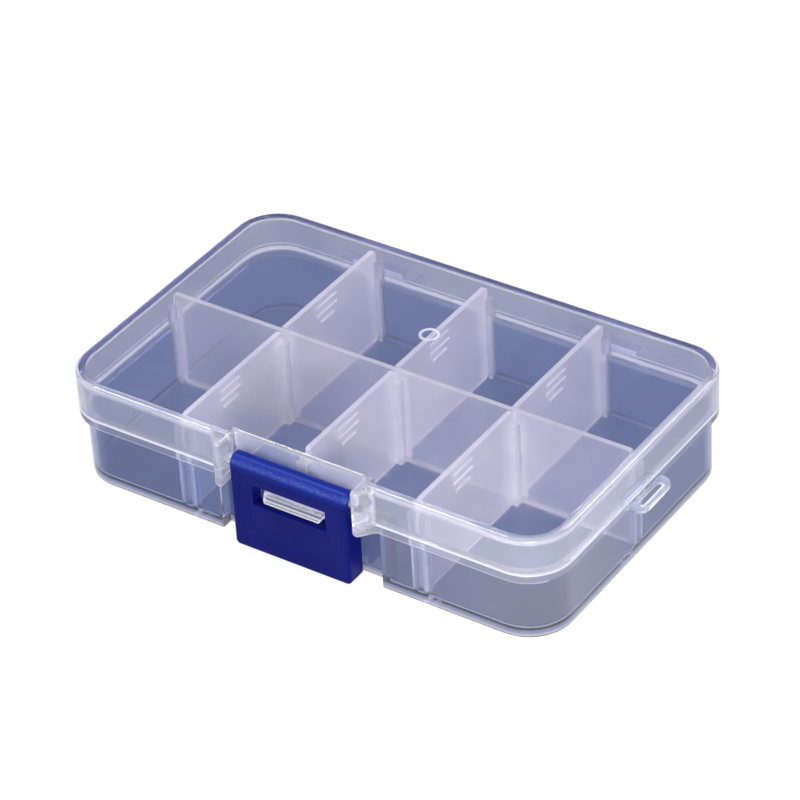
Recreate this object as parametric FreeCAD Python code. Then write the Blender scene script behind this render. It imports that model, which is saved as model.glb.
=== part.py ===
import FreeCAD, Part
import math
import os

# A hinged-lid compartment box moulded in clear plastic, with loose divider plates and a snap latch.
# Millimetres. X runs along the box, the latch is on the -Y side and the hinge on the +Y side.
# The origin is the middle of the tray's underside.

Vector = FreeCAD.Vector

# Outer sizes of the closed box
box_length = 110.0
box_width = 69.2
box_height = 23.6
seam_height = 15.6
seam_gap = 0.1
corner_radius = 9.25
tray_corner_radius = 9.0

# Walls
tray_wall = 1.2
tray_floor = 1.4
lid_wall = 1.3
lid_roof = 1.1

# Tray rim, flared from the wall out to the lid's outline
rim_overhang = 1.1
rim_height = 2.2
rim_land = 1.6

# Rounded edges
tray_foot_round = 0.4
seam_round = 0.3
tray_inside_round = 1.0
lid_edge_round = 0.8
lid_inside_round = 1.0

# Front bay of the lid, and the tray's wider and deeper bay below it
lid_bay_depth = 2.4
tray_bay_margin = 3.75
tray_bay_step = 1.3

# Pivot ears on both sides of the lid's bay, each over a matching ear of the rim
ear_inner = 14.55
ear_tip_width = 1.45
ear_root_width = 3.85
ear_cover = 0.9
ear_corner = 0.9
rim_ear_height = 2.3
rim_ear_round = 0.8

# Latch, hung between the ears on two stub pins
latch_side_gap = 1.4
latch_thickness = 4.1
latch_plate = 2.6
latch_flange = 1.0
latch_low = 0.5
latch_top_drop = 2.7
latch_back_gap = 0.3
latch_shoulder = 0.6
latch_corner = 1.0
latch_edge_round = 0.5
window_side_gap = 1.75
window_drop = 0.5
window_rise = 2.4
window_bevel = 0.4
dish_margin = 1.6
dish_slope = 2.6
dish_depth = 0.15
dish_rim_round_share = 0.105
dish_bottom_round_share = 0.42
stub_radius = 1.0
stub_length = 2.0
stub_end_gap = 0.2
pivot_clearance = 0.05

# Catch bar on the tray, behind the latch window
catch_half = 6.5
catch_drop = 2.1
catch_height = 1.3
catch_lip = 1.3
catch_lip_width = 1.3
catch_slope = 0.8
catch_gap = 0.3

# Divider plates and the guide ribs that hold them
divider_thickness = 1.1
divider_slot_clearance = 0.15
divider_end_gap = 0.45
divider_roof_gap = 0.2
divider_middle_gap = 0.3
divider_top_round = 0.5
divider_foot_clearance = 0.6
station_pitch = 26.4
guide_width = 1.1
guide_depth = 1.6
guide_drop = 2.3
end_guide_width = 0.8
end_guide_depth = 1.3

# Finger ridges on both faces of each short divider, from the top down
ridge_lengths = (6.5, 6.5, 4.6)
ridge_pitch = 1.9
ridge_top_drop = 1.6
ridge_radius = 0.35
ridge_offset = 2.0

# Hinge: two bars moulded between lugs on the tray, gripped by open clips on the lid
hinge_half_span = 36.0
hinge_lug = 2.5
hinge_bar = 13.0
hinge_bar_radius = 0.75
hinge_barrel_radius = 1.35
hinge_clearance = 0.05
hinge_side_gap = 0.5
hinge_wall_gap = 0.3
hinge_web_gap = 0.3
clip_mouth = 1.1

# Hanging loop on the right end of the rim
loop_half = 5.6
loop_reach = 3.0
loop_round = 2.0
loop_height = 1.1
loop_drop = 1.0
loop_slot_half = 4.2
loop_slot_start = 0.3
loop_slot_width = 1.7
loop_slot_round = 0.6

# Round gate mark sunk into the lid's top
gate_place = 12.0
gate_radius = 2.1
gate_ring = 0.6
gate_depth = 0.3

# A moulded-on feature is sunk this far into the wall that carries it
root_depth = 0.4

# Edges to be rounded are picked by where they lie, to within this
place_tolerance = 0.0001

# Values worked out from the sizes above
half_length = box_length / 2
half_width = box_width / 2
wall_half_length = half_length - rim_overhang
wall_half_width = half_width - rim_overhang
inner_half_length = wall_half_length - tray_wall
inner_half_width = wall_half_width - tray_wall
inner_radius = tray_corner_radius - tray_wall
rim_low = seam_height - rim_height
lid_low = seam_height + seam_gap
lid_bay_y = -half_width + lid_bay_depth
tray_bay_y = lid_bay_y + tray_bay_step
tray_bay_inner_y = tray_bay_y + tray_wall
tray_bay_half = ear_inner + tray_bay_margin
roof_inside = box_height - lid_roof
latch_half = ear_inner - latch_side_gap
latch_radius = latch_thickness / 2
latch_back_y = lid_bay_y - latch_back_gap
latch_front_y = latch_back_y - latch_thickness
latch_plate_y = latch_front_y + latch_plate
ear_tip_y = latch_front_y - ear_cover
pivot_y = latch_back_y - latch_radius
pivot_z = box_height - latch_top_drop - latch_radius
catch_tip_y = latch_plate_y + catch_gap
catch_top = seam_height - catch_drop
catch_low = catch_top - catch_height
window_half = catch_half + window_side_gap
window_low = catch_low - window_drop
window_high = catch_top + window_rise
divider_top = roof_inside - divider_roof_gap
guide_top = divider_top - guide_drop
divider_half = divider_thickness / 2
divider_foot_cut = tray_inside_round + divider_foot_clearance
slot_half = divider_half + divider_slot_clearance
hinge_y = half_width + hinge_wall_gap + hinge_barrel_radius
hinge_z = seam_height
bar_end = hinge_half_span - hinge_lug
bar_start = bar_end - hinge_bar
lug_start = bar_start - hinge_lug
stations = {"left": -station_pitch, "middle": 0.0, "right": station_pitch}


def box(x0, x1, y0, y1, z0, z1):
    """A box between two corners, given in any order."""
    low = Vector(min(x0, x1), min(y0, y1), min(z0, z1))
    return Part.makeBox(abs(x1 - x0), abs(y1 - y0), abs(z1 - z0), low)


def level(z):
    """Places a flat (u, v) outline in a level plane."""
    return lambda u, v: Vector(u, v, z)


def across(x):
    """Places a flat (u, v) outline in the plane across the box at x, with u along Y and v up."""
    return lambda u, v: Vector(x, u, v)


def lengthwise(y):
    """Places a flat (u, v) outline in the plane along the box at y, with u along X and v up."""
    return lambda u, v: Vector(u, y, v)


def outline(corners, place):
    """A closed outline through (u, v, radius) corners, each rounded by a tangent arc of its radius."""
    count = len(corners)
    points = [place(u, v) for u, v, radius in corners]
    turns = []
    for index in range(count):
        corner = points[index]
        radius = corners[index][2]
        back = (points[index - 1] - corner).normalize()
        ahead = (points[(index + 1) % count] - corner).normalize()
        half_angle = back.getAngle(ahead) / 2
        middle = (back + ahead).normalize()
        trim = radius / math.tan(half_angle)
        crown = corner + middle * (radius / math.sin(half_angle) - radius)
        turns.append((corner + back * trim, crown, corner + ahead * trim))
    edges = []
    for index in range(count):
        start, crown, end = turns[index]
        following = turns[(index + 1) % count][0]
        if corners[index][2] > 0:
            edges.append(Part.Arc(start, crown, end).toShape())
        edges.append(Part.LineSegment(end, following).toShape())
    return Part.Wire(edges)


def rounded_rectangle(half_x, half_y, radius, z):
    """The level outline of a rectangle about the Z axis with four equal rounded corners."""
    corners = [
        (half_x, half_y, radius),
        (-half_x, half_y, radius),
        (-half_x, -half_y, radius),
        (half_x, -half_y, radius),
    ]
    return outline(corners, level(z))


def drawn(wire, direction):
    """The solid of a flat outline drawn out along a direction."""
    return Part.Face(wire).extrude(direction)


def rounded_block(half_x, half_y, radius, z0, z1):
    """An upright block about the Z axis with rounded corners."""
    return drawn(rounded_rectangle(half_x, half_y, radius, z0), Vector(0, 0, z1 - z0))


def rod(y, z, radius, x0, x1):
    """A round rod along X."""
    return Part.makeCylinder(radius, x1 - x0, Vector(x0, y, z), Vector(1, 0, 0))


def rounded_at(shape, z, radius):
    """The shape with all its edges at one height rounded."""
    edges = []
    for edge in shape.Edges:
        bounds = edge.BoundBox
        if max(abs(bounds.ZMin - z), abs(bounds.ZMax - z)) < place_tolerance:
            edges.append(edge)
    return shape.makeFillet(radius, edges)


def both_ends(shapes):
    """The shapes and their reflections across the middle plane X = 0."""
    return shapes + [shape.mirror(Vector(0, 0, 0), Vector(1, 0, 0)) for shape in shapes]


def joined(shape, others):
    """One solid of a shape and what is moulded onto it."""
    return shape.multiFuse(others).removeSplitter()


def save(node, shape):
    """Writes one piece, which has to be a single sound solid."""
    if not shape.isValid() or len(shape.Solids) != 1:
        raise ValueError(node + " is not one sound solid")
    shape.Solids[0].exportStep("parts/" + node + ".step")
    print(node, round(shape.Volume, 1), "cubic mm")


def eared_outline(z):
    """The outline shared by the lid and the rim: the front edge steps out into two ears beside a bay."""
    tip = ear_inner + ear_tip_width
    root = ear_inner + ear_root_width
    left_ear = [
        (-root, -half_width, ear_corner),
        (-tip, ear_tip_y, ear_corner),
        (-ear_inner, ear_tip_y, ear_corner),
        (-ear_inner, lid_bay_y, ear_corner),
    ]
    right_ear = [(-x, y, radius) for x, y, radius in reversed(left_ear)]
    left_end = [(-half_length, half_width, corner_radius), (-half_length, -half_width, corner_radius)]
    right_end = [(-x, y, radius) for x, y, radius in reversed(left_end)]
    return outline(left_end + left_ear + right_ear + right_end, level(z))


def tray_body():
    """Floor, walls and flared rim, with the front bay cut back for the latch."""
    walls = rounded_block(wall_half_length, wall_half_width, tray_corner_radius, 0, seam_height)
    walls = rounded_at(walls, 0, tray_foot_round)
    bay = box(-tray_bay_half, tray_bay_half, ear_tip_y, tray_bay_y, -tray_floor, rim_low)
    land_low = seam_height - rim_land
    flare_start = rounded_rectangle(wall_half_length, wall_half_width, tray_corner_radius, rim_low)
    flare_end = rounded_rectangle(half_length, half_width, corner_radius, land_low)
    flare = Part.makeLoft([flare_start, flare_end], True, True)
    land = rounded_block(half_length, half_width, corner_radius, land_low, seam_height)
    land = rounded_at(land, seam_height, seam_round)
    notch = box(-ear_inner, ear_inner, ear_tip_y, lid_bay_y, 0, box_height)
    ear_low = seam_height - rim_ear_height
    ears = drawn(eared_outline(ear_low), Vector(0, 0, rim_ear_height))
    ears = rounded_at(ears, ear_low, rim_ear_round)
    ears = rounded_at(ears, seam_height, seam_round)
    ears = ears.common(box(-half_length, half_length, ear_tip_y, tray_bay_y, 0, box_height))
    hollow = rounded_block(inner_half_length, inner_half_width, inner_radius, tray_floor, box_height)
    hollow = rounded_at(hollow, tray_floor, tray_inside_round)
    bay_wall = tray_bay_half + tray_wall
    hollow = hollow.cut(box(-bay_wall, bay_wall, ear_tip_y, tray_bay_inner_y, 0, box_height))
    rim = joined(flare, [land]).cut(notch)
    return joined(walls.cut(bay).cut(notch), [rim, ears]).cut(hollow)


def wall_face(station, side):
    """Where the tray wall's inner face stands at a station: side -1 is the front, +1 the back."""
    if side < 0 and abs(station) < tray_bay_half:
        return tray_bay_inner_y
    return side * inner_half_width


def tray_guides():
    """Pairs of upright ribs inside the walls, one pair at each end of every divider."""
    ribs = []
    low = tray_floor - root_depth
    for station in stations.values():
        for side in (-1, 1):
            face = wall_face(station, side)
            root = face + side * root_depth
            tip = face - side * guide_depth
            for hand in (-1, 1):
                near = station + hand * slot_half
                ribs.append(box(near, near + hand * guide_width, root, tip, low, guide_top))
    for side in (-1, 1):
        root = side * (inner_half_length + root_depth)
        tip = side * (inner_half_length - end_guide_depth)
        for hand in (-1, 1):
            near = hand * slot_half
            ribs.append(box(root, tip, near, near + hand * end_guide_width, low, guide_top))
    return ribs


def tray_catch():
    """The hooked bar on the bay wall that the latch window sits over."""
    root = tray_bay_y + root_depth
    lip_low = catch_low - catch_lip
    profile = [
        (root, catch_top, 0),
        (catch_tip_y + catch_slope, catch_top, 0),
        (catch_tip_y, catch_top - catch_slope, 0),
        (catch_tip_y, lip_low, 0),
        (catch_tip_y + catch_lip_width / 2, lip_low, 0),
        (catch_tip_y + catch_lip_width, catch_low, 0),
        (root, catch_low, 0),
    ]
    return drawn(outline(profile, across(-catch_half)), Vector(2 * catch_half, 0, 0))


def tray_hinge():
    """Lugs on the back of the rim with a round bar between each two."""
    low = hinge_z - hinge_barrel_radius
    pieces = [rod(hinge_y, hinge_z, hinge_bar_radius, bar_start, bar_end)]
    for start in (lug_start, bar_end):
        end = start + hinge_lug
        pieces.append(rod(hinge_y, hinge_z, hinge_barrel_radius, start, end))
        pieces.append(box(start, end, wall_half_width - root_depth, hinge_y, low, hinge_z))
    return both_ends(pieces)


def tray_loop():
    """The slotted hanging loop on the right end of the rim."""
    top = seam_height - loop_drop
    low = top - loop_height
    root = wall_half_length - root_depth
    tip = half_length + loop_reach
    plan = [
        (root, -loop_half, 0),
        (tip, -loop_half, loop_round),
        (tip, loop_half, loop_round),
        (root, loop_half, 0),
    ]
    slot_near = half_length + loop_slot_start
    slot_far = slot_near + loop_slot_width
    slot_plan = [
        (slot_near, -loop_slot_half, loop_slot_round),
        (slot_far, -loop_slot_half, loop_slot_round),
        (slot_far, loop_slot_half, loop_slot_round),
        (slot_near, loop_slot_half, loop_slot_round),
    ]
    rise = Vector(0, 0, loop_height)
    return drawn(outline(plan, level(low)), rise).cut(drawn(outline(slot_plan, level(low)), rise))


def tray():
    """The clear base with everything moulded onto it."""
    extras = tray_guides() + tray_hinge() + [tray_catch(), tray_loop()]
    return joined(tray_body(), extras)


def lid_clips():
    """Open clips on the back of the lid that turn on the tray's hinge bars."""
    start = bar_start + hinge_side_gap
    end = bar_end - hinge_side_gap
    top = hinge_z + hinge_barrel_radius
    barrel = rod(hinge_y, hinge_z, hinge_barrel_radius, start, end)
    web = box(start, end, half_width - root_depth, hinge_y, hinge_z + hinge_web_gap, top)
    bore = rod(hinge_y, hinge_z, hinge_bar_radius + hinge_clearance, start, end)
    mouth_low = hinge_z - hinge_barrel_radius
    mouth = box(start, end, hinge_y - clip_mouth / 2, hinge_y + clip_mouth / 2, mouth_low, hinge_z)
    return both_ends([joined(barrel, [web]).cut(bore).cut(mouth)])


def lid():
    """The clear cover with its ears, pivot stubs, hinge clips and gate mark."""
    cover = drawn(eared_outline(lid_low), Vector(0, 0, box_height - lid_low))
    cover = rounded_at(cover, box_height, lid_edge_round)
    cover = rounded_at(cover, lid_low, seam_round)
    hollow_radius = corner_radius - lid_wall
    hollow = rounded_block(half_length - lid_wall, half_width - lid_wall, hollow_radius, 0, roof_inside)
    hollow = rounded_at(hollow, roof_inside, lid_inside_round)
    bay_wall = ear_inner + lid_wall
    hollow = hollow.cut(box(-bay_wall, bay_wall, ear_tip_y, lid_bay_y + lid_wall, 0, box_height))
    mark = Part.makeCylinder(gate_radius, gate_depth, Vector(0, gate_place, box_height - gate_depth))
    mark = mark.cut(Part.makeCylinder(gate_radius - gate_ring, box_height, Vector(0, gate_place, 0)))
    stub = rod(pivot_y, pivot_z, stub_radius, latch_half - stub_length, ear_inner + root_depth)
    return joined(cover.cut(hollow).cut(mark), both_ends([stub]) + lid_clips())


def latch_front():
    """The latch plate's solid block, with its lower corners and its front edges rounded."""
    face = [
        (-latch_half, pivot_z, 0),
        (-latch_half, latch_low, latch_corner),
        (latch_half, latch_low, latch_corner),
        (latch_half, pivot_z, 0),
    ]
    block = drawn(outline(face, lengthwise(latch_front_y)), Vector(0, latch_thickness, 0))
    front_edges = []
    for edge in block.Edges:
        bounds = edge.BoundBox
        offset = max(abs(bounds.YMin - latch_front_y), abs(bounds.YMax - latch_front_y))
        below_pivot = bounds.ZMin < pivot_z - place_tolerance
        if offset < place_tolerance and below_pivot:
            front_edges.append(edge)
    return block.makeFillet(latch_edge_round, front_edges)


def latch_dish():
    """The shallow sunk panel on the latch's face, with sloping sides."""
    def ring(inset, round_share, y):
        side = latch_half - inset
        low = latch_low + inset
        high = pivot_z - inset
        radius = round_share * (high - low)
        corners = [(-side, low, radius), (side, low, radius), (side, high, radius), (-side, high, radius)]
        return outline(corners, lengthwise(y))
    rim = ring(dish_margin, dish_rim_round_share, latch_front_y)
    bottom = ring(dish_margin + dish_slope, dish_bottom_round_share, latch_front_y + dish_depth)
    return Part.makeLoft([rim, bottom], True, True)


def latch():
    """The coloured snap latch: a hollow plate with a rolled top edge and a window for the catch."""
    roll = rod(pivot_y, pivot_z, latch_radius, -latch_half, latch_half)
    roll = roll.makeFillet(latch_edge_round, roll.Edges)
    pocket_half = latch_half - latch_flange
    pocket_top = pivot_z - latch_radius - latch_shoulder
    pocket = box(-pocket_half, pocket_half, latch_plate_y, latch_back_y, latch_low, pocket_top)
    window = box(-window_half, window_half, latch_front_y, latch_plate_y, window_low, window_high)
    bevel_profile = [
        (latch_front_y, window_low, 0),
        (latch_front_y + dish_depth + window_bevel, window_low, 0),
        (latch_front_y, window_low - dish_depth - window_bevel, 0),
    ]
    bevel = drawn(outline(bevel_profile, across(-window_half)), Vector(2 * window_half, 0, 0))
    bore_start = latch_half - stub_length - stub_end_gap
    bore = rod(pivot_y, pivot_z, stub_radius + pivot_clearance, bore_start, latch_half)
    shape = joined(latch_front(), [roll])
    return shape.cut([latch_dish(), pocket, window, bevel] + both_ends([bore]))


def long_divider():
    """The lengthwise plate, with guide posts for the short dividers on both faces."""
    end = inner_half_length - divider_end_gap
    face = [
        (-end, tray_floor + divider_foot_cut, 0),
        (-end + divider_foot_cut, tray_floor, 0),
        (end - divider_foot_cut, tray_floor, 0),
        (end, tray_floor + divider_foot_cut, 0),
        (end, divider_top, divider_top_round),
        (-end, divider_top, divider_top_round),
    ]
    plate = drawn(outline(face, lengthwise(-divider_half)), Vector(0, divider_thickness, 0))
    posts = []
    for station in stations.values():
        for side in (-1, 1):
            tip = side * (divider_half + guide_depth)
            for hand in (-1, 1):
                near = station + hand * slot_half
                posts.append(box(near, near + hand * guide_width, 0, tip, tray_floor, guide_top))
    return joined(plate, posts)


def short_divider(station, side):
    """One crosswise plate from the long divider to a wall: side -1 is the front, +1 the back."""
    middle_end = side * (divider_half + divider_middle_gap)
    wall_end = wall_face(station, side) - side * divider_end_gap
    face = [
        (middle_end, tray_floor, 0),
        (wall_end - side * divider_foot_cut, tray_floor, 0),
        (wall_end, tray_floor + divider_foot_cut, 0),
        (wall_end, divider_top, divider_top_round),
        (middle_end, divider_top, 0),
    ]
    near = station - divider_half
    plate = drawn(outline(face, across(near)), Vector(divider_thickness, 0, 0))
    ridges = []
    centre = (middle_end + wall_end) / 2 - ridge_offset
    for index, length in enumerate(ridge_lengths):
        z = divider_top - ridge_top_drop - index * ridge_pitch
        for x in (near, near + divider_thickness):
            start = Vector(x, centre - length / 2, z)
            ridges.append(Part.makeCylinder(ridge_radius, length, start, Vector(0, 1, 0)))
    return joined(plate, ridges)


os.makedirs("parts", exist_ok=True)
save("tray", tray())
save("lid", lid())
save("latch", latch())
save("long_divider", long_divider())
for row, side in (("front", -1), ("back", 1)):
    for name, station in stations.items():
        save("short_divider_" + row + "_" + name, short_divider(station, side))
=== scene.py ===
import math

import bmesh
import bpy
from mathutils import Matrix, Vector


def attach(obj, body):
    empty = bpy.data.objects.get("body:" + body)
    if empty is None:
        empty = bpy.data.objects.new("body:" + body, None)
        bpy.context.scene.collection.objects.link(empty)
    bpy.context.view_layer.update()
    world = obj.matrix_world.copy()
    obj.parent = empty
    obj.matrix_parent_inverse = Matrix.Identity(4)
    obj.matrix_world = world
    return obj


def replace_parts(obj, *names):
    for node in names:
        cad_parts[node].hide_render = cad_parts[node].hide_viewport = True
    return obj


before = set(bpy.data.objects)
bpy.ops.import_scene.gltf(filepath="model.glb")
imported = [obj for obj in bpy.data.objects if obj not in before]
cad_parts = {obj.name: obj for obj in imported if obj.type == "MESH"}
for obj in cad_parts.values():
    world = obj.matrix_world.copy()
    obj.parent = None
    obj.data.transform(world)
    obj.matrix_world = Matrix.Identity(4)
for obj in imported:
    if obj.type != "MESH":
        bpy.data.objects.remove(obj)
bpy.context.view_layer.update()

# A clear compartment box with a hinged lid, loose divider plates and a blue snap latch.
# Metres, in the frame of the solids: X along the box, the latch on the -Y side, Z up.
MM = 0.001

# Camera: its place, its turn in degrees, and its lens and sensor in millimetres
CAMERA_PLACE = Vector((335.95, -470.1, 430.6)) * MM
CAMERA_AZIMUTH = 35.492
CAMERA_ELEVATION = 35.695
CAMERA_ROLL = -3.396
CAMERA_LENS = 167.2
CAMERA_SENSOR = 36.0

# Floor: its side, how far it lies below the tray, its paper and glow, and the share of it that only glows
FLOOR_SIDE = 6000 * MM
FLOOR_DROP = 0.1 * MM
FLOOR_PAPER = "F4F4F6"
FLOOR_GLOW = 1.04
FLOOR_WHITE_SHARE = 0.9

# Surround: white near the horizon and dim overhead, with the heights where it changes, as sines
SURROUND_WHITE = "FFFFFF"
SURROUND_DIM = "9A9CA6"
SURROUND_WHITE_UNTIL = 0.22
SURROUND_DIM_FROM = 0.42

# Lamps: the name, the place and the side in metres, and the watts of each
LAMPS = (
    ("lamp_above", (-0.5, 0.0, 0.95), 0.35, 5.0),
    ("lamp_behind", (0.4, 0.75, 0.85), 0.35, 3.0),
    ("lamp_front", (0.28, -0.4, 0.12), 0.16, 1.5),
)

# Clear walls stand one behind the other, so light has to pass many faces
CLEAR_BOUNCES = 24
TRANSPARENT_BOUNCES = 32

# Tray, in millimetres: half sizes and corner radius of its wall's outer and inner outlines, then heights
TRAY_OUTER = (53.9, 33.5, 9.0)
TRAY_INNER = (52.7, 32.3, 7.8)
TRAY_FLOOR = 1.4
TRAY_FILLET = 1.0
TRAY_RIM_LOW = 13.4
SEAM = 15.6
SEAM_ROUND = 0.3

# Wall round the tray's front bay, in millimetres: its outer and inner faces along Y and along X
BAY_OUTER_Y = -30.9
BAY_INNER_Y = -29.7
BAY_OUTER_X = 18.3
BAY_INNER_X = 19.5

# Lid, in millimetres: half sizes and corner radius of its skirt's outer and inner outlines, then heights
LID_OUTER = (55.0, 34.6, 9.25)
LID_INNER = (53.7, 33.3, 7.95)
LID_ROOF_LOW = 22.5
LID_TOP = 23.6

# Wall of the lid behind the latch, in millimetres: its place along Y, its reach from there, half its length
LID_BAY_Y = -32.2
LID_BAY_REACH = 1.4
LID_BAY_X = 18.4

# Dividers, in millimetres: half a plate's thickness, and the pitch of the short ones
PLATE_HALF = 0.55
PLATE_PITCH = 26.4

# Gate mark on the lid, in millimetres: its place along Y, its radius and its floor's height
GATE_Y = 12.0
GATE_RADIUS = 2.1
GATE_LOW = 23.3

# Nose of the catch, in millimetres: its section's (y, z) corners, each with half the width there
NOSE_SECTION = (
    (-33.5, 13.4, 7.2),
    (-34.3, 13.7, 7.2),
    (-35.7, 12.8, 6.6),
    (-36.0, 12.0, 6.2),
    (-35.4, 11.9, 6.2),
    (-34.5, 12.5, 6.6),
    (-33.5, 12.5, 6.6),
)
NOSE_ROUND = 0.2 * MM

# A face counts as lying on a plane when it is this near to it, in millimetres
ON_PLANE = 0.06

# A face faces along an axis when its normal's share along it is over the first, and across it below the next
FACING_ALONG = 0.99
FACING_ACROSS = 0.1

# The slope, as the normal's share along Z, of the rounded edge under the tray
UNDER_EDGE_SLOPE = (0.3, 0.9)

# Corners of the loose triangles are one when they are this near to each other
SAME_PLACE = 0.001 * MM

# Finishes of the faces, by their places in each piece's list of materials
TRAY_EDGES, TRAY_WALLS, TRAY_BASE, TRAY_RIM, TRAY_LOOP, TRAY_SEAM = range(6)
LID_EDGES, LID_ROOF, LID_SKIRT, LID_EARS, LID_SEAM = range(5)
PLATE_EDGES, PLATE_FACES, PLATE_POSTS = range(3)
NOSE_FACES, NOSE_EDGES = range(2)

# Plastics: their index of refraction, and the middle part of a noise that is spread over a cloud or a skin
PLASTIC_IOR = 1.49
CLOUD_SPREAD = (0.35, 0.65)
SKIN_SPREAD = (0.3, 0.7)
SKIN_DEPTH = 0.05 * MM

# Clear plastic: sizes of its clouds and ripples, its roughness, its haze, and the lamp light it lets in
CLEAR_CLOUD = 16 * MM
CLEAR_RIPPLE = 3.5 * MM
CLEAR_ROUGHNESS = (0.03, 0.08)
HAZE_ROUGHNESS = 0.6
HAZE_TINT = "ECECF8"
LAMP_TINT = "F9F9FB"

# Milky plates: their tints, the sizes of their clouds and grain, and their foot painted bright as a line of
# light on the tray's floor
MILKY_TINTS = ("F2F0F5", "F9F6F8")
MILKY_CLOUD = 9 * MM
MILKY_GRAIN = 0.6 * MM
PLATE_FOOT_LIGHT_TINT = "FFF8F2"
PLATE_FOOT_LIGHT = (1.6 * MM, 2.1 * MM)
PLATE_FOOT_LIGHT_CLEARNESS = 0.3

# Blue plastic: its tints, the sizes of its clouds and grain, its roughness and its weak shine
BLUE_TINTS = ("040B5C", "060F66")
BLUE_CLOUD = 7 * MM
BLUE_GRAIN = 0.35 * MM
BLUE_ROUGHNESS = (0.26, 0.36)
BLUE_SHINE = 0.08

# The latch's roll, painted paler on top as if lit from above: its tint, and the heights where that starts and
# is full
TOP_LIGHT_TINT = "122C92"
TOP_LIGHT = (18.0 * MM, 20.4 * MM)

# Painted highlight with scuffs on the roll's ridge: tint, the ridge's height and half width, length, stretch,
# spread and strength
HIGHLIGHT_AND_SCUFF_TINT = "7682C2"
RIDGE_HEIGHT = 19.9 * MM
RIDGE_HALF = 0.8 * MM
HIGHLIGHT_AND_SCUFF_LENGTH = 0.6 * MM
HIGHLIGHT_AND_SCUFF_STRETCH = (1.0, 3.0, 3.0)
HIGHLIGHT_AND_SCUFF_SPREAD = (0.45, 0.8)
HIGHLIGHT_AND_SCUFF_STRENGTH = (0.15, 0.7)

# Painted light: the right front end is painted paler: from where to where the paler tint grows along X and
# along Y
LIT_END_X = (0, 50 * MM)
LIT_END_Y = (10 * MM, -30 * MM)

# Painted shade: the dark line along the lid's far edges: its width and soft border, and where it fades in
# along X and Y
DARK_EDGE_WIDTH = 2.0 * MM
DARK_EDGE_SOFT = 0.15 * MM
DARK_EDGE_FADE_X = (-44 * MM, -52 * MM)
DARK_EDGE_FADE_Y = (22 * MM, 31 * MM)

# The foot of the tray's walls: the heights where its painted pale line of light and its hazy band end, and
# its clearness
FOOT_LIGHT_LINE = (0.8 * MM, 1.1 * MM)
FOOT_BAND = (1.4 * MM, 2.0 * MM)
FOOT_CLEARNESS = 0.3


def linear(hex_colour):
    """The linear colour of an sRGB hex value such as 8090A0."""
    parts = [int(hex_colour[place:place + 2], 16) / 255 for place in (0, 2, 4)]
    return tuple(((p + 0.055) / 1.055) ** 2.4 if p > 0.04045 else p / 12.92 for p in parts) + (1.0,)


def add(tree, kind, inputs=None, **settings):
    """Adds a node, sets its properties, and sets or links its inputs by name or number."""
    made = tree.nodes.new(kind)
    for name, value in settings.items():
        setattr(made, name, value)
    for key, value in (inputs or {}).items():
        if isinstance(value, bpy.types.NodeSocket):
            tree.links.new(value, made.inputs[key])
        else:
            made.inputs[key].default_value = value
    return made


def material_tree(name):
    """A new material and its emptied node tree."""
    material = bpy.data.materials.new(name)
    material.use_nodes = True
    material.node_tree.nodes.clear()
    return material, material.node_tree


def cloudy_colour(tree, place, size, detail, tints):
    """A colour that drifts between two tints in soft clouds, as where the melt flowed."""
    noise = {"Vector": place, "Scale": 1 / size, "Detail": detail}
    flow = add(tree, "ShaderNodeTexNoise", noise).outputs[0]
    flow = add(tree, "ShaderNodeMapRange", {0: flow, 1: CLOUD_SPREAD[0], 2: CLOUD_SPREAD[1]}).outputs[0]
    shades = {"Factor": flow, 6: linear(tints[0]), 7: linear(tints[1])}
    return add(tree, "ShaderNodeMix", shades, data_type="RGBA").outputs[2]


def moulded_skin(tree, place, size, detail, strength, roughness):
    """The roughness, from smooth to matt, and the normal of a moulded skin that is a little uneven."""
    noise = {"Vector": place, "Scale": 1 / size, "Detail": detail}
    grain = add(tree, "ShaderNodeTexNoise", noise).outputs[0]
    bump = {"Strength": strength, "Distance": SKIN_DEPTH, "Height": grain}
    normal = add(tree, "ShaderNodeBump", bump).outputs[0]
    spread = {0: grain, 1: SKIN_SPREAD[0], 2: SKIN_SPREAD[1], 3: roughness[0], 4: roughness[1]}
    return add(tree, "ShaderNodeMapRange", spread).outputs[0], normal


def let_lamps_in(tree, plastic):
    """Ends a clear or milky material: lamp light passes straight in, a little dimmed at each face."""
    passed = add(tree, "ShaderNodeBsdfTransparent", {"Color": linear(LAMP_TINT)})
    is_shadow = add(tree, "ShaderNodeLightPath").outputs["Is Shadow Ray"]
    surface = add(tree, "ShaderNodeMixShader", {0: is_shadow, 1: plastic.outputs[0], 2: passed.outputs[0]})
    add(tree, "ShaderNodeOutputMaterial", {"Surface": surface.outputs[0]})


def with_painted_lit_end(tree, axes, colour, tint):
    """A colour that fades to a paler one towards the right front end: painted light, where that end catches
    more light.
    """
    along = add(tree, "ShaderNodeMapRange", {0: axes["X"], 1: LIT_END_X[0], 2: LIT_END_X[1]}).outputs[0]
    across = add(tree, "ShaderNodeMapRange", {0: axes["Y"], 1: LIT_END_Y[0], 2: LIT_END_Y[1]}).outputs[0]
    pale = add(tree, "ShaderNodeMath", {0: along, 1: across}, operation="MULTIPLY").outputs[0]
    shades = {"Factor": pale, 6: colour, 7: linear(tint)}
    return add(tree, "ShaderNodeMix", shades, data_type="RGBA").outputs[2]


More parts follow.
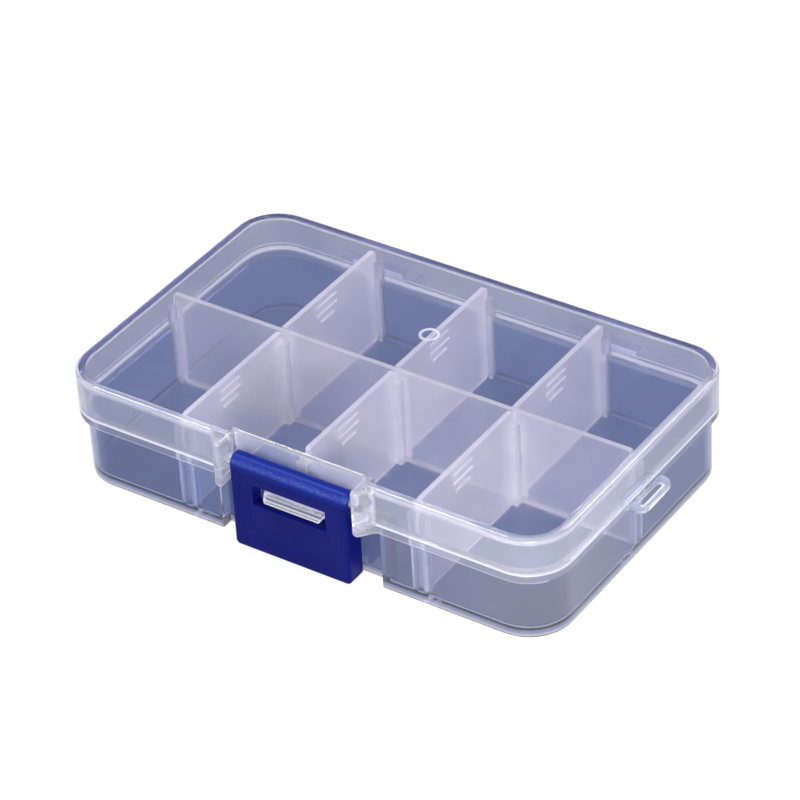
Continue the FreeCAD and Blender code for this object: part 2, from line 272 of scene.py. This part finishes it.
def with_painted_dark_edge(tree, place, axes, colour, tint):
    """A colour with a painted dark line along the lid's left and back edges: painted shade for the dark that
    thick clear edges show.
    """
    half_x, half_y, radius = (value * MM for value in LID_OUTER)
    folded = add(tree, "ShaderNodeVectorMath", {0: place}, operation="ABSOLUTE").outputs[0]
    straight = (half_x - radius, half_y - radius, LID_TOP * MM)
    past = add(tree, "ShaderNodeVectorMath", {0: folded, 1: straight}, operation="SUBTRACT").outputs[0]
    past = add(tree, "ShaderNodeVectorMath", {0: past, 1: (0, 0, 0)}, operation="MAXIMUM").outputs[0]
    reach = add(tree, "ShaderNodeVectorMath", {0: past}, operation="LENGTH").outputs["Value"]
    inner = radius - DARK_EDGE_WIDTH
    line = add(tree, "ShaderNodeMapRange", {0: reach, 1: inner - DARK_EDGE_SOFT, 2: inner}).outputs[0]
    left = add(tree, "ShaderNodeMapRange", {0: axes["X"], 1: DARK_EDGE_FADE_X[0], 2: DARK_EDGE_FADE_X[1]}).outputs[0]
    back = add(tree, "ShaderNodeMapRange", {0: axes["Y"], 1: DARK_EDGE_FADE_Y[0], 2: DARK_EDGE_FADE_Y[1]}).outputs[0]
    far = add(tree, "ShaderNodeMath", {0: left, 1: back}, operation="MAXIMUM").outputs[0]
    line = add(tree, "ShaderNodeMath", {0: line, 1: far}, operation="MULTIPLY").outputs[0]
    shades = {"Factor": line, 6: colour, 7: linear(tint)}
    return add(tree, "ShaderNodeMix", shades, data_type="RGBA").outputs[2]


def with_painted_foot_light(tree, height, colour, clearness, foot):
    """A wall's colour and clearness with a painted pale line of light at its foot, and a hazy band above that
    line, painted paler over the dark that the floor's edge shows.
    """
    foot_light_tint, band_tint = foot
    over_light_line = add(tree, "ShaderNodeMapRange", {0: height, 1: FOOT_LIGHT_LINE[0], 2: FOOT_LIGHT_LINE[1]}).outputs[0]
    over_band = add(tree, "ShaderNodeMapRange", {0: height, 1: FOOT_BAND[0], 2: FOOT_BAND[1]}).outputs[0]
    shades = {"Factor": over_light_line, 6: linear(foot_light_tint), 7: linear(band_tint)}
    low = add(tree, "ShaderNodeMix", shades, data_type="RGBA").outputs[2]
    shades = {"Factor": over_band, 6: low, 7: colour}
    colour = add(tree, "ShaderNodeMix", shades, data_type="RGBA").outputs[2]
    clearing = {0: over_band, 3: FOOT_CLEARNESS, 4: clearness}
    return colour, add(tree, "ShaderNodeMapRange", clearing).outputs[0]


def clear_polypropylene(part, tints, clearness, haze=0.0, foot=None, painted_lit_end_tint=None, painted_dark_edge_tint=None):
    """Clear polypropylene from a polished mould: glossy and faintly milky, with slow clouds and ripples."""
    material, tree = material_tree("clear_polypropylene_" + part)
    place = add(tree, "ShaderNodeTexCoord").outputs["Object"]
    axes = add(tree, "ShaderNodeSeparateXYZ", {0: place}).outputs
    colour = cloudy_colour(tree, place, size=CLEAR_CLOUD, detail=2.0, tints=tints)
    # Painted light: the right front end is painted paler.
    if painted_lit_end_tint:
        colour = with_painted_lit_end(tree, axes, colour, painted_lit_end_tint)
    # Painted shade: a dark line along the lid's far edges.
    if painted_dark_edge_tint:
        colour = with_painted_dark_edge(tree, place, axes, colour, painted_dark_edge_tint)
    # Painted light: a pale line at the walls' foot, and a paler hazy band over the dark that the floor's edge
    # shows.
    if foot:
        colour, clearness = with_painted_foot_light(tree, axes["Z"], colour, clearness, foot)
    gloss, ripple = moulded_skin(tree, place, CLEAR_RIPPLE, detail=0.5, strength=0.04,
                                 roughness=CLEAR_ROUGHNESS)
    plastic = add(tree, "ShaderNodeBsdfPrincipled", {
        "Base Color": colour,
        "Roughness": gloss,
        "IOR": PLASTIC_IOR,
        "Transmission Weight": clearness,
        "Sheen Weight": haze,
        "Sheen Roughness": HAZE_ROUGHNESS,
        "Sheen Tint": linear(HAZE_TINT),
        "Normal": ripple,
    })
    let_lamps_in(tree, plastic)
    return material


def milky_polypropylene(part, clearness, roughness):
    """Natural polypropylene plate: a milky haze over what shows through it, with its foot painted brighter as
    a line of light.
    """
    material, tree = material_tree("milky_polypropylene_" + part)
    place = add(tree, "ShaderNodeTexCoord").outputs["Object"]
    colour = cloudy_colour(tree, place, size=MILKY_CLOUD, detail=3.0, tints=MILKY_TINTS)
    # Light leaves at the plate's lower edge, which reads as a bright line along the tray's floor.
    height = add(tree, "ShaderNodeSeparateXYZ", {0: place}).outputs["Z"]
    above = add(tree, "ShaderNodeMapRange", {0: height, 1: PLATE_FOOT_LIGHT[0], 2: PLATE_FOOT_LIGHT[1]}).outputs[0]
    shades = {"Factor": above, 6: linear(PLATE_FOOT_LIGHT_TINT), 7: colour}
    colour = add(tree, "ShaderNodeMix", shades, data_type="RGBA").outputs[2]
    clearing = {0: above, 3: PLATE_FOOT_LIGHT_CLEARNESS, 4: clearness}
    clearness = add(tree, "ShaderNodeMapRange", clearing).outputs[0]
    gloss, satin = moulded_skin(tree, place, MILKY_GRAIN, detail=2.0, strength=0.005, roughness=roughness)
    plastic = add(tree, "ShaderNodeBsdfPrincipled", {
        "Base Color": colour,
        "Roughness": gloss,
        "IOR": PLASTIC_IOR,
        "Transmission Weight": clearness,
        "Normal": satin,
    })
    let_lamps_in(tree, plastic)
    return material


def blue_polypropylene():
    """Opaque blue polypropylene: a satin moulded skin, its grain drawn coarser than life so that it shows."""
    material, tree = material_tree("blue_polypropylene_moulded")
    place = add(tree, "ShaderNodeTexCoord").outputs["Object"]
    colour = cloudy_colour(tree, place, size=BLUE_CLOUD, detail=3.0, tints=BLUE_TINTS)
    # The rolled top edge is painted paler, as if lit from above, and its ridge has a painted highlight line
    # with short scuffs along it.
    height = add(tree, "ShaderNodeSeparateXYZ", {0: place}).outputs["Z"]
    lit_top = add(tree, "ShaderNodeMapRange", {0: height, 1: TOP_LIGHT[0], 2: TOP_LIGHT[1]}).outputs[0]
    shades = {"Factor": lit_top, 6: colour, 7: linear(TOP_LIGHT_TINT)}
    colour = add(tree, "ShaderNodeMix", shades, data_type="RGBA").outputs[2]
    # Painted highlight: a pale line along the roll's ridge, broken up by short scuffs.
    off_ridge = add(tree, "ShaderNodeMath", {0: height, 1: RIDGE_HEIGHT}, operation="SUBTRACT").outputs[0]
    off_ridge = add(tree, "ShaderNodeMath", {0: off_ridge}, operation="ABSOLUTE").outputs[0]
    on_ridge = add(tree, "ShaderNodeMapRange", {0: off_ridge, 1: RIDGE_HALF, 2: 0.0}).outputs[0]
    drawn_out = add(tree, "ShaderNodeMapping", {"Vector": place, "Scale": HIGHLIGHT_AND_SCUFF_STRETCH}).outputs[0]
    noise = {"Vector": drawn_out, "Scale": 1 / HIGHLIGHT_AND_SCUFF_LENGTH, "Detail": 4.0}
    highlight_and_scuff = add(tree, "ShaderNodeTexNoise", noise).outputs[0]
    spread = {0: highlight_and_scuff, 1: HIGHLIGHT_AND_SCUFF_SPREAD[0], 2: HIGHLIGHT_AND_SCUFF_SPREAD[1], 3: HIGHLIGHT_AND_SCUFF_STRENGTH[0], 4: HIGHLIGHT_AND_SCUFF_STRENGTH[1]}
    highlight_and_scuff = add(tree, "ShaderNodeMapRange", spread).outputs[0]
    highlight_and_scuff = add(tree, "ShaderNodeMath", {0: highlight_and_scuff, 1: on_ridge}, operation="MULTIPLY").outputs[0]
    shades = {"Factor": highlight_and_scuff, 6: colour, 7: linear(HIGHLIGHT_AND_SCUFF_TINT)}
    colour = add(tree, "ShaderNodeMix", shades, data_type="RGBA").outputs[2]
    gloss, skin = moulded_skin(tree, place, BLUE_GRAIN, detail=2.0, strength=0.1, roughness=BLUE_ROUGHNESS)
    plastic = add(tree, "ShaderNodeBsdfPrincipled", {
        "Base Color": colour,
        "Roughness": gloss,
        "IOR": PLASTIC_IOR,
        "Specular IOR Level": BLUE_SHINE,
        "Normal": skin,
    })
    add(tree, "ShaderNodeOutputMaterial", {"Surface": plastic.outputs[0]})
    return material


def outside_by(x, y, outline):
    """How far a point lies outside a rounded rectangle about the origin, less than zero inside it."""
    half_x, half_y, radius = outline
    over_x = abs(x) - half_x + radius
    over_y = abs(y) - half_y + radius
    return math.hypot(max(over_x, 0), max(over_y, 0)) + min(max(over_x, over_y), 0) - radius


def in_bay_wall(x, y):
    """True on the wall that goes round the tray's front bay."""
    back = abs(x) < BAY_INNER_X + ON_PLANE and BAY_OUTER_Y - ON_PLANE < y < BAY_INNER_Y + ON_PLANE
    sides = BAY_OUTER_X - ON_PLANE < abs(x) < BAY_INNER_X + ON_PLANE and y < BAY_INNER_Y + ON_PLANE
    return back or sides


def tray_finish(face):
    """Which finish a face of the tray has, by where it lies and how it slopes."""
    x, y, z = face.center / MM
    slope = abs(face.normal.z)
    upright = slope < FACING_ACROSS
    level = slope > FACING_ALONG
    rounded = not upright and not level
    # The hinge bars stand behind the rim.
    if y > LID_OUTER[1] + ON_PLANE:
        return TRAY_SEAM
    if level and z < TRAY_FLOOR + ON_PLANE:
        return TRAY_BASE
    # The hanging loop stands outside the rim, and the catch in front of the bay's wall.
    past_rim = outside_by(x, y, LID_OUTER) > ON_PLANE
    past_bay = abs(x) < BAY_OUTER_X and y < BAY_OUTER_Y - ON_PLANE
    if past_rim or past_bay:
        return TRAY_EDGES if rounded else TRAY_LOOP
    # The fillet inside the foot of the walls looks like the floor, and the rounded edge under them doesn't.
    under_edge = z <= TRAY_FLOOR and UNDER_EDGE_SLOPE[0] <= slope <= UNDER_EDGE_SLOPE[1]
    if z < TRAY_FLOOR + TRAY_FILLET and not under_edge:
        return TRAY_BASE
    if z > SEAM - SEAM_ROUND and rounded:
        return TRAY_SEAM
    in_wall = outside_by(x, y, TRAY_OUTER) < ON_PLANE and outside_by(x, y, TRAY_INNER) > -ON_PLANE
    if upright and z < TRAY_RIM_LOW and (in_wall or in_bay_wall(x, y)):
        return TRAY_WALLS
    on_rim = abs(outside_by(x, y, LID_OUTER)) < ON_PLANE or in_wall
    return TRAY_RIM if upright and z > TRAY_RIM_LOW and on_rim else TRAY_EDGES


def lid_finish(face):
    """Which finish a face of the lid has, by where it lies and how it slopes."""
    x, y, z = face.center / MM
    slope = abs(face.normal.z)
    upright = slope < FACING_ACROSS
    level = slope > FACING_ALONG
    rounded = not upright and not level
    if z > GATE_LOW - ON_PLANE and math.hypot(x, y - GATE_Y) < GATE_RADIUS + ON_PLANE:
        return LID_SEAM if z < LID_TOP - ON_PLANE else LID_ROOF
    if level and z > LID_ROOF_LOW - ON_PLANE:
        return LID_ROOF
    # The hinge clips stand behind the skirt, and the ears in front of it.
    if outside_by(x, y, LID_OUTER) > ON_PLANE:
        if y > 0:
            return LID_SEAM
        return LID_EDGES if rounded else LID_EARS
    if z < SEAM + 2 * SEAM_ROUND and rounded:
        return LID_SEAM
    in_bay = abs(x) < LID_BAY_X and abs(y - LID_BAY_Y) < LID_BAY_REACH
    if upright and in_bay:
        return LID_EARS
    in_skirt = outside_by(x, y, LID_INNER) > -ON_PLANE
    return LID_SKIRT if upright and in_skirt else LID_EDGES


def long_plate_finish(face):
    """Which finish a face of the long divider has: its posts stand out from its two broad faces."""
    off_middle = abs(face.center.y / MM)
    if off_middle > PLATE_HALF + ON_PLANE:
        return PLATE_POSTS
    is_broad = off_middle > PLATE_HALF - ON_PLANE and abs(face.normal.y) > FACING_ALONG
    return PLATE_FACES if is_broad else PLATE_EDGES


def short_plate_finish(face):
    """Which finish a face of a short divider has: its ridges look like its two broad faces."""
    x = face.center.x / MM
    off_middle = abs(x - PLATE_PITCH * round(x / PLATE_PITCH))
    return PLATE_FACES if off_middle > PLATE_HALF - ON_PLANE else PLATE_EDGES


def joined_mesh(node, name):
    """A copy of a solid's mesh with its loose triangles joined and its own normals kept."""
    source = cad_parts[node].data
    numbers = {}
    places = []
    faces = []
    normals = []
    for face in source.polygons:
        corners = []
        for index in face.vertices:
            place = source.vertices[index].co
            key = tuple(round(value / SAME_PLACE) for value in place)
            if key not in numbers:
                numbers[key] = len(places)
                places.append(place.copy())
            corners.append(numbers[key])
        if len(set(corners)) < len(corners):
            continue
        faces.append(corners)
        normals += [source.corner_normals[loop].vector.copy() for loop in face.loop_indices]
    mesh = bpy.data.meshes.new(name)
    mesh.from_pydata(places, [], faces)
    mesh.shade_smooth()
    mesh.normals_split_custom_set(normals)
    return mesh


def add_piece(name, mesh, materials, body):
    """Puts a finished mesh into the scene as a piece that moves with a body."""
    for material in materials:
        mesh.materials.append(material)
    piece = bpy.data.objects.new(name, mesh)
    bpy.context.scene.collection.objects.link(piece)
    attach(piece, body)
    return piece


def dressed_copy(node, body, name, materials, finish_of):
    """A joined copy of a solid that stands for it, with each face's finish chosen by where it lies."""
    mesh = joined_mesh(node, name)
    for face in mesh.polygons:
        face.material_index = finish_of(face)
    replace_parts(add_piece(name, mesh, materials, body), node)


def catch_nose(materials):
    """The nose of the catch in the latch window: a bar whose rounded edges have a finish of their own."""
    shape = bmesh.new()
    rings = []
    for side in (-1, 1):
        rings.append([shape.verts.new(Vector((side * half, y, z)) * MM) for y, z, half in NOSE_SECTION])
        shape.faces.new(rings[-1]).material_index = NOSE_FACES
    for corner in range(len(NOSE_SECTION)):
        shape.faces.new((rings[0][corner - 1], rings[0][corner], rings[1][corner], rings[1][corner - 1]))
    bmesh.ops.recalc_face_normals(shape, faces=shape.faces)
    bmesh.ops.bevel(shape, geom=shape.edges, offset=NOSE_ROUND, offset_type="OFFSET", segments=2, profile=0.5,
                    affect="EDGES", material=NOSE_EDGES)
    mesh = bpy.data.meshes.new("catch_nose")
    shape.to_mesh(mesh)
    shape.free()
    add_piece("catch_nose", mesh, materials, "tray")


def dress_node(node, material):
    """Gives a solid that stays as it is its material."""
    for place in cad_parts[node].material_slots:
        place.material = material


def make_box():
    """Dresses the tray, the lid, the latch and the dividers."""
    # Part real haze, part painted highlight: edges, seam, hinges and the catch's edges are paler and hazier,
    # for the bright lines along them.
    edges = clear_polypropylene("edges", ("E2E2EA", "EAEAF0"), clearness=0.72)
    # Painted light: the skirt here and the tray's walls below are painted paler towards the right front end.
    skirt = clear_polypropylene("skirt", ("B0B3C6", "B8BBCC"), clearness=0.82, haze=0.05, painted_lit_end_tint="DADAE2")
    thin = clear_polypropylene("thin", ("E0E2EC", "E8EAF2"), clearness=0.85)
    hazy = clear_polypropylene("hazy", ("F0F0F6", "F6F6FA"), clearness=0.4)
    # Painted shade: the tray's walls and floor are tinted a darker blue-grey than the lid's roof, for the
    # dark ground and shade seen through them.
    walls = clear_polypropylene("tray_walls", ("7684AE", "7C8AB4"), clearness=0.9, haze=0.1,
                                foot=("C0BBC2", "8A96BC"), painted_lit_end_tint="B4B0BC")
    floor = clear_polypropylene("tray_floor", ("707EA8", "7684AE"), clearness=1.0)
    # Painted shade: the roof has a dark line painted along its far edges.
    roof = clear_polypropylene("lid_roof", ("DCDCE8", "E2E2EC"), clearness=1.0, painted_dark_edge_tint="4C5286")
    tray_materials = [edges, walls, floor, skirt, thin, hazy]
    lid_materials = [edges, roof, skirt, thin, hazy]
    dressed_copy("tray", "tray", "tray_shell", tray_materials, tray_finish)
    dressed_copy("lid", "lid", "lid_shell", lid_materials, lid_finish)
    catch_nose([thin, hazy])
    dress_node("latch", blue_polypropylene())
    plate_edges = milky_polypropylene("plate_edges", clearness=0.55, roughness=(0.06, 0.12))
    long_faces = milky_polypropylene("long_plate", clearness=0.8, roughness=(0.04, 0.08))
    short_faces = milky_polypropylene("short_plates", clearness=0.6, roughness=(0.04, 0.08))
    long_materials = [plate_edges, long_faces, short_faces]
    short_materials = [plate_edges, short_faces]
    dressed_copy("long_divider", "tray", "long_plate", long_materials, long_plate_finish)
    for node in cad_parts:
        if node.startswith("short_divider"):
            name = node.replace("divider", "plate")
            dressed_copy(node, "tray", name, short_materials, short_plate_finish)


def make_floor():
    """A white floor. Seen directly, in reflections or through the plastic, most of it stays unshaded."""
    material, tree = material_tree("white_paper_floor")
    paper = add(tree, "ShaderNodeBsdfDiffuse", {"Color": linear(FLOOR_PAPER)})
    white = add(tree, "ShaderNodeEmission", {"Strength": FLOOR_GLOW})
    path = add(tree, "ShaderNodeLightPath").outputs
    rays = {0: path["Is Camera Ray"], 1: path["Is Glossy Ray"]}
    seen = add(tree, "ShaderNodeMath", rays, operation="MAXIMUM").outputs[0]
    rays = {0: seen, 1: path["Is Transmission Ray"]}
    seen = add(tree, "ShaderNodeMath", rays, operation="MAXIMUM").outputs[0]
    share = add(tree, "ShaderNodeMath", {0: seen, 1: FLOOR_WHITE_SHARE}, operation="MULTIPLY").outputs[0]
    surface = add(tree, "ShaderNodeMixShader", {0: share, 1: paper.outputs[0], 2: white.outputs[0]})
    add(tree, "ShaderNodeOutputMaterial", {"Surface": surface.outputs[0]})
    half = FLOOR_SIDE / 2
    corners = [(x * half, y * half, -FLOOR_DROP) for x, y in ((-1, -1), (1, -1), (1, 1), (-1, 1))]
    mesh = bpy.data.meshes.new("floor")
    mesh.from_pydata(corners, [], [(0, 1, 2, 3)])
    mesh.materials.append(material)
    floor = bpy.data.objects.new("floor", mesh)
    bpy.context.scene.collection.objects.link(floor)


def make_surround():
    """The studio round the box: white walls near the horizon under a dim ceiling."""
    world = bpy.data.worlds.new("studio")
    world.use_nodes = True
    tree = world.node_tree
    tree.nodes.clear()
    direction = add(tree, "ShaderNodeTexCoord").outputs["Generated"]
    rise = add(tree, "ShaderNodeSeparateXYZ", {0: direction}).outputs["Z"]
    heights = {0: rise, 1: SURROUND_WHITE_UNTIL, 2: SURROUND_DIM_FROM}
    dimming = add(tree, "ShaderNodeMapRange", heights).outputs[0]
    shades = {"Factor": dimming, 6: linear(SURROUND_WHITE), 7: linear(SURROUND_DIM)}
    colour = add(tree, "ShaderNodeMix", shades, data_type="RGBA").outputs[2]
    back = add(tree, "ShaderNodeBackground", {"Color": colour, "Strength": 1.0})
    add(tree, "ShaderNodeOutputWorld", {"Surface": back.outputs[0]})
    bpy.context.scene.world = world


def make_light():
    """Soft lamps turned to the box: two for bright lines on its rounded edges, one low in front to fill."""
    for name, place, side, watts in LAMPS:
        data = bpy.data.lights.new(name, "AREA")
        data.size = side
        data.energy = watts
        lamp = bpy.data.objects.new(name, data)
        lamp.location = place
        lamp.rotation_euler = (-Vector(place)).to_track_quat("-Z", "Y").to_euler()
        bpy.context.scene.collection.objects.link(lamp)


def make_camera():
    """The camera at the photograph's place, turn and focal length."""
    data = bpy.data.cameras.new("camera")
    data.lens = CAMERA_LENS
    data.sensor_width = CAMERA_SENSOR
    camera = bpy.data.objects.new("camera", data)
    turn = Matrix.Rotation(math.radians(CAMERA_AZIMUTH), 4, "Z")
    tilt = Matrix.Rotation(math.radians(90 - CAMERA_ELEVATION), 4, "X")
    roll = Matrix.Rotation(math.radians(CAMERA_ROLL), 4, "Z")
    camera.matrix_world = Matrix.Translation(CAMERA_PLACE) @ turn @ tilt @ roll
    bpy.context.scene.collection.objects.link(camera)
    bpy.context.scene.camera = camera


make_camera()
make_floor()
make_surround()
make_light()
make_box()

scene = bpy.context.scene
scene.view_settings.view_transform = "Standard"
scene.cycles.max_bounces = CLEAR_BOUNCES
scene.cycles.transmission_bounces = CLEAR_BOUNCES
scene.cycles.transparent_max_bounces = TRANSPARENT_BOUNCES
